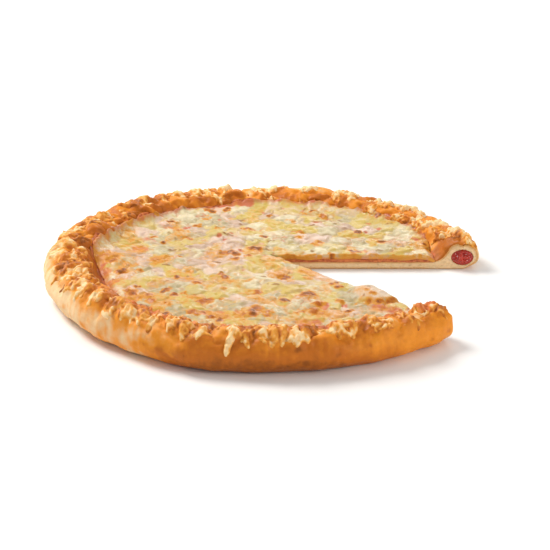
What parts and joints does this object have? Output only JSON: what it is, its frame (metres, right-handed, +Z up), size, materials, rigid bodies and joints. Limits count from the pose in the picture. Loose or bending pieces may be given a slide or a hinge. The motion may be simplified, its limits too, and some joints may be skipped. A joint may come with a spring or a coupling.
{
  "type": "stuffed crust pizza",
  "caption": "Round stuffed crust cheese pizza with a slice taken out: a thick rolled rim with a tomato filling, a thin base, sauce and uneven melted cheese.",
  "frame": {"origin": "middle of the flat underside, on the surface that the pizza rests on, below the middle of its outline", "axes": "+Z up; the slice is missing at +X, between the +X direction and 46 degrees towards -Y; -Y is the front of the reference view"},
  "size_m": [0.2776, 0.2805, 0.0277],
  "materials": {
    "baked_crust": "golden baked dough, matt, pale where it is cut, with toasted grated cheese on the top of the rim",
    "tomato_filling": "thick red tomato filling, lumpy and glossy",
    "tomato_sauce": "thin orange-red tomato sauce, moist",
    "melted_cheese": "melted mozzarella and cheddar, cream and pale yellow, greasy sheen, toasted brown spots"
  },
  "bodies": {
    "root": {"dough": "baked_crust", "rim_filling": "tomato_filling", "sauce": "tomato_sauce", "cheese": "melted_cheese"}
  },
  "joints": []
}
